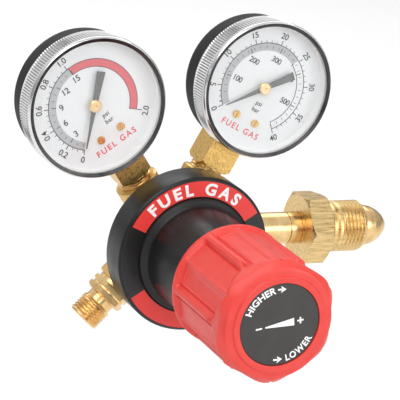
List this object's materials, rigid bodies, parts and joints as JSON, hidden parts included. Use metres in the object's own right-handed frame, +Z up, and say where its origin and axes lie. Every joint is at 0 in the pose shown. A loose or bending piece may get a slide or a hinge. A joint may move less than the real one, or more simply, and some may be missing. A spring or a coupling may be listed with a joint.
{
  "type": "gas regulator",
  "caption": "Acetylene cylinder pressure regulator with red adjusting knob, black bonnet, delivery and cylinder pressure gauges, swivel inlet nut and threaded hose outlet.",
  "frame": {"origin": "middle of the inlet nut's external thread, on the inlet axis", "axes": "+X out along the inlet towards the cylinder valve, +Z up, -Y out along the adjusting knob towards the user"},
  "size_m": [0.177, 0.1282, 0.136],
  "materials": {
    "brass_body": "satin, lightly tumbled",
    "brass_fitting": "machined, bright",
    "brass_socket": "satin, sawn faces",
    "black_paint": "semi-gloss",
    "red_plastic": "satin",
    "black_plastic": "satin",
    "chrome": "bright, knurled",
    "lens": "clear polycarbonate",
    "dial_white": "matt white",
    "pointer_paint": "matt dark grey",
    "rubber": "matt",
    "white_rubber": "matt",
    "steel": "plain",
    "label": "printed, red and black"
  },
  "bodies": {
    "regulator": {"regulator_body": "brass_body", "body_cap": "brass_fitting", "nozzle": "brass_fitting", "valve_spring": "steel", "bonnet": "black_paint", "bonnet_label": "label", "screw_bushing": "brass_fitting", "diaphragm": "rubber", "main_spring": "steel", "inlet_nipple": "brass_fitting", "inlet_filter": "brass_body", "outlet_fitting": "brass_fitting", "low_gauge_case": "black_paint", "low_gauge_bezel": "chrome", "low_gauge_lens": "lens", "low_gauge_gasket": "white_rubber", "low_gauge_dial": "dial_white", "low_gauge_dial_screws": "brass_fitting", "low_gauge_hairspring": "steel", "low_gauge_bourdon_tube": "brass_body", "low_gauge_movement_frame": "brass_fitting", "low_gauge_socket": "brass_socket", "high_gauge_case": "black_paint", "high_gauge_bezel": "chrome", "high_gauge_lens": "lens", "high_gauge_gasket": "white_rubber", "high_gauge_dial": "dial_white", "high_gauge_dial_screws": "brass_fitting", "high_gauge_hairspring": "steel", "high_gauge_bourdon_tube": "brass_body", "high_gauge_movement_frame": "brass_fitting", "high_gauge_socket": "brass_socket"},
    "screw_button": {"spring_button": "steel"},
    "knob": {"knob": "red_plastic", "knob_disc": "black_plastic", "adjusting_screw": "steel"},
    "diaphragm_plate": {"diaphragm_plate": "steel"},
    "valve": {"valve_poppet": "steel"},
    "inlet_nut": {"inlet_nut": "brass_fitting"},
    "low_pointer": {"low_gauge_pointer": "pointer_paint", "low_gauge_pointer_hub": "brass_fitting", "low_gauge_pinion_arbor": "brass_fitting"},
    "low_sector": {"low_gauge_sector_gear": "brass_fitting"},
    "low_link": {"low_gauge_link": "brass_fitting"},
    "high_pointer": {"high_gauge_pointer": "pointer_paint", "high_gauge_pointer_hub": "brass_fitting", "high_gauge_pinion_arbor": "brass_fitting"},
    "high_sector": {"high_gauge_sector_gear": "brass_fitting"},
    "high_link": {"high_gauge_link": "brass_fitting"}
  },
  "joints": [
    {"name": "adjusting_screw_travel", "type": "slide", "parent": "regulator", "child": "screw_button", "axis": [0, 1, 0], "range_m": [0, 0.009], "deforming": ["main_spring"]},
    {"name": "knob_turn", "type": "hinge", "parent": "screw_button", "child": "knob", "pos_m": [-0.0845, -0.0294, 0], "axis": [0, 1, 0], "range_deg": [0, 1620]},
    {"name": "diaphragm_plate_travel", "type": "slide", "parent": "regulator", "child": "diaphragm_plate", "axis": [0, 1, 0], "range_m": [0, 0.001], "deforming": ["diaphragm", "main_spring"]},
    {"name": "valve_travel", "type": "slide", "parent": "regulator", "child": "valve", "axis": [0, 1, 0], "range_m": [0, 0.001], "deforming": ["valve_spring"]},
    {"name": "inlet_nut_turn", "type": "hinge", "parent": "regulator", "child": "inlet_nut", "pos_m": [0, 0, 0], "axis": [1, 0, 0], "continuous": true},
    {"name": "low_pointer_turn", "type": "hinge", "parent": "regulator", "child": "low_pointer", "pos_m": [-0.12741, -0.01206, 0.05906], "axis": [0, 1, 0], "range_deg": [0, 273.1], "deforming": ["low_gauge_hairspring"]},
    {"name": "low_sector_turn", "type": "hinge", "parent": "regulator", "child": "low_sector", "pos_m": [-0.11936, -0.00506, 0.071], "axis": [0, 1, 0], "range_deg": [-34.12, 0], "stiffness_Nm_per_rad": 0.01, "springref_deg": 1.15},
    {"name": "low_link_turn", "type": "hinge", "parent": "low_sector", "child": "low_link", "pos_m": [-0.11664, -0.00356, 0.0732], "axis": [0, 1, 0], "range_deg": [0, 34.23], "stiffness_Nm_per_rad": 0.000002, "springref_deg": -131.78},
    {"name": "high_pointer_turn", "type": "hinge", "parent": "regulator", "child": "high_pointer", "pos_m": [-0.05296, -0.01206, 0.06583], "axis": [0, 1, 0], "range_deg": [0, 273.1], "deforming": ["high_gauge_hairspring"]},
    {"name": "high_sector_turn", "type": "hinge", "parent": "regulator", "child": "high_sector", "pos_m": [-0.03863, -0.00506, 0.06443], "axis": [0, 1, 0], "range_deg": [-34.12, 0], "stiffness_Nm_per_rad": 0.01, "springref_deg": 1.15},
    {"name": "high_link_turn", "type": "hinge", "parent": "high_sector", "child": "high_link", "pos_m": [-0.0354, -0.00356, 0.06308], "axis": [0, 1, 0], "range_deg": [0, 34.23], "stiffness_Nm_per_rad": 0.000002, "springref_deg": 121.75}
  ],
  "couplings": [
    {"joint": "adjusting_screw_travel", "follows": "knob_turn", "m_per_rad": 0.00031831},
    {"joint": "diaphragm_plate_travel", "follows": "knob_turn", "m_per_rad": 0.000035332},
    {"joint": "valve_travel", "follows": "knob_turn", "m_per_rad": 0.000035332},
    {"joint": "low_pointer_turn", "follows": "low_sector_turn", "ratio": -8},
    {"joint": "low_link_turn", "follows": "low_sector_turn", "ratio": -1},
    {"joint": "high_pointer_turn", "follows": "high_sector_turn", "ratio": -8},
    {"joint": "high_link_turn", "follows": "high_sector_turn", "ratio": -1}
  ]
}
